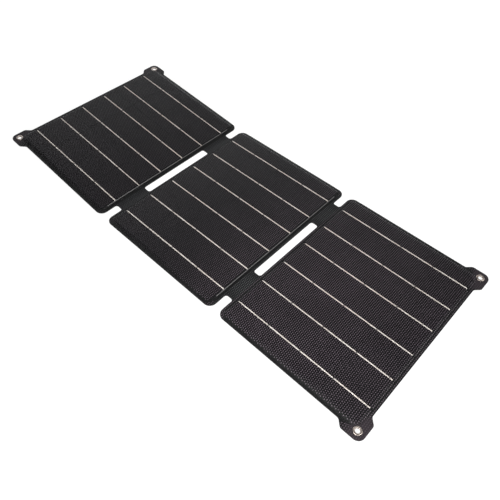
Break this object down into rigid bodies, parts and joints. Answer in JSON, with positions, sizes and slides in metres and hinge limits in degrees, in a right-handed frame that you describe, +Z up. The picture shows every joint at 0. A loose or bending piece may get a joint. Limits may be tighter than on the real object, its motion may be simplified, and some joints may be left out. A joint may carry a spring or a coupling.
{
  "type": "folding solar mat",
  "caption": "Folding solar mat: stiff cell panels in a row under embossed film, joined by cloth tabs, with eyelet ears at the corners and a junction box on the back.",
  "frame": {"origin": "centre of the middle panel's back face, on the surface that the open mat lies on", "axes": "+X along the row of panels towards the flat end panel, +Y across the panels, +Z up out of the cells"},
  "size_m": [0.5232, 0.2276, 0.0192],
  "materials": {
    "black_cloth": "woven polyester with a dull coating",
    "glass_fibre_board": "bare glass-fibre laminate",
    "dark_silicon": "dark blue-black cell face",
    "tinned_ribbon": "dull tinned copper",
    "embossed_film": "clear film with a fine embossed dot pattern",
    "copper_lead": "bare copper foil",
    "nickel_plate": "bright nickel plate",
    "black_plastic": "fine moulded texture",
    "circuit_board": "solder mask",
    "zinc_steel": "zinc plate"
  },
  "bodies": {
    "middle_panel": {"middle_back_cloth": "black_cloth", "middle_cell_string_centre": "dark_silicon", "middle_cell_string_far": "dark_silicon", "middle_cell_string_near": "dark_silicon", "middle_front_film": "embossed_film", "middle_lead_at_left_fold_far": "copper_lead", "middle_lead_at_left_fold_near": "copper_lead", "middle_lead_at_right_fold_far": "copper_lead", "middle_lead_at_right_fold_near": "copper_lead", "middle_ribbon_pair_centre": "tinned_ribbon", "middle_ribbon_pair_far": "tinned_ribbon", "middle_ribbon_pair_near": "tinned_ribbon", "middle_stiffener_board": "glass_fibre_board"},
    "left_panel": {"left_back_cloth": "black_cloth", "left_cell_string_centre": "dark_silicon", "left_cell_string_far": "dark_silicon", "left_cell_string_near": "dark_silicon", "left_eyelet_far": "nickel_plate", "left_eyelet_near": "nickel_plate", "left_eyelet_washer_far": "nickel_plate", "left_eyelet_washer_near": "nickel_plate", "left_front_film": "embossed_film", "left_lead_at_left_fold_far": "copper_lead", "left_lead_at_left_fold_near": "copper_lead", "left_ribbon_pair_centre": "tinned_ribbon", "left_ribbon_pair_far": "tinned_ribbon", "left_ribbon_pair_near": "tinned_ribbon", "left_stiffener_board": "glass_fibre_board", "bypass_diode": "black_plastic", "junction_box_base": "black_plastic", "junction_box_lid": "black_plastic", "lid_screw_inner_far": "zinc_steel", "lid_screw_inner_near": "zinc_steel", "lid_screw_outer_far": "zinc_steel", "lid_screw_outer_near": "zinc_steel", "output_lead_far": "copper_lead", "output_lead_near": "copper_lead", "output_socket": "black_plastic", "output_socket_nut": "nickel_plate", "output_socket_pin": "nickel_plate", "terminal_board": "circuit_board"},
    "right_panel": {"right_back_cloth": "black_cloth", "right_cell_string_centre": "dark_silicon", "right_cell_string_far": "dark_silicon", "right_cell_string_near": "dark_silicon", "right_eyelet_far": "nickel_plate", "right_eyelet_near": "nickel_plate", "right_eyelet_washer_far": "nickel_plate", "right_eyelet_washer_near": "nickel_plate", "right_front_film": "embossed_film", "right_lead_at_right_fold_far": "copper_lead", "right_lead_at_right_fold_near": "copper_lead", "right_ribbon_pair_centre": "tinned_ribbon", "right_ribbon_pair_far": "tinned_ribbon", "right_ribbon_pair_near": "tinned_ribbon", "right_stiffener_board": "glass_fibre_board"}
  },
  "joints": [
    {"name": "left_fold", "type": "hinge", "parent": "middle_panel", "child": "left_panel", "pos_m": [-0.08695, 0, 0.00471], "axis": [0, 1, 0], "range_deg": [-5.77, 174.23]},
    {"name": "right_fold", "type": "hinge", "parent": "middle_panel", "child": "right_panel", "pos_m": [0.08695, 0, 0.00304], "axis": [0, -1, 0], "range_deg": [0, 180]}
  ]
}
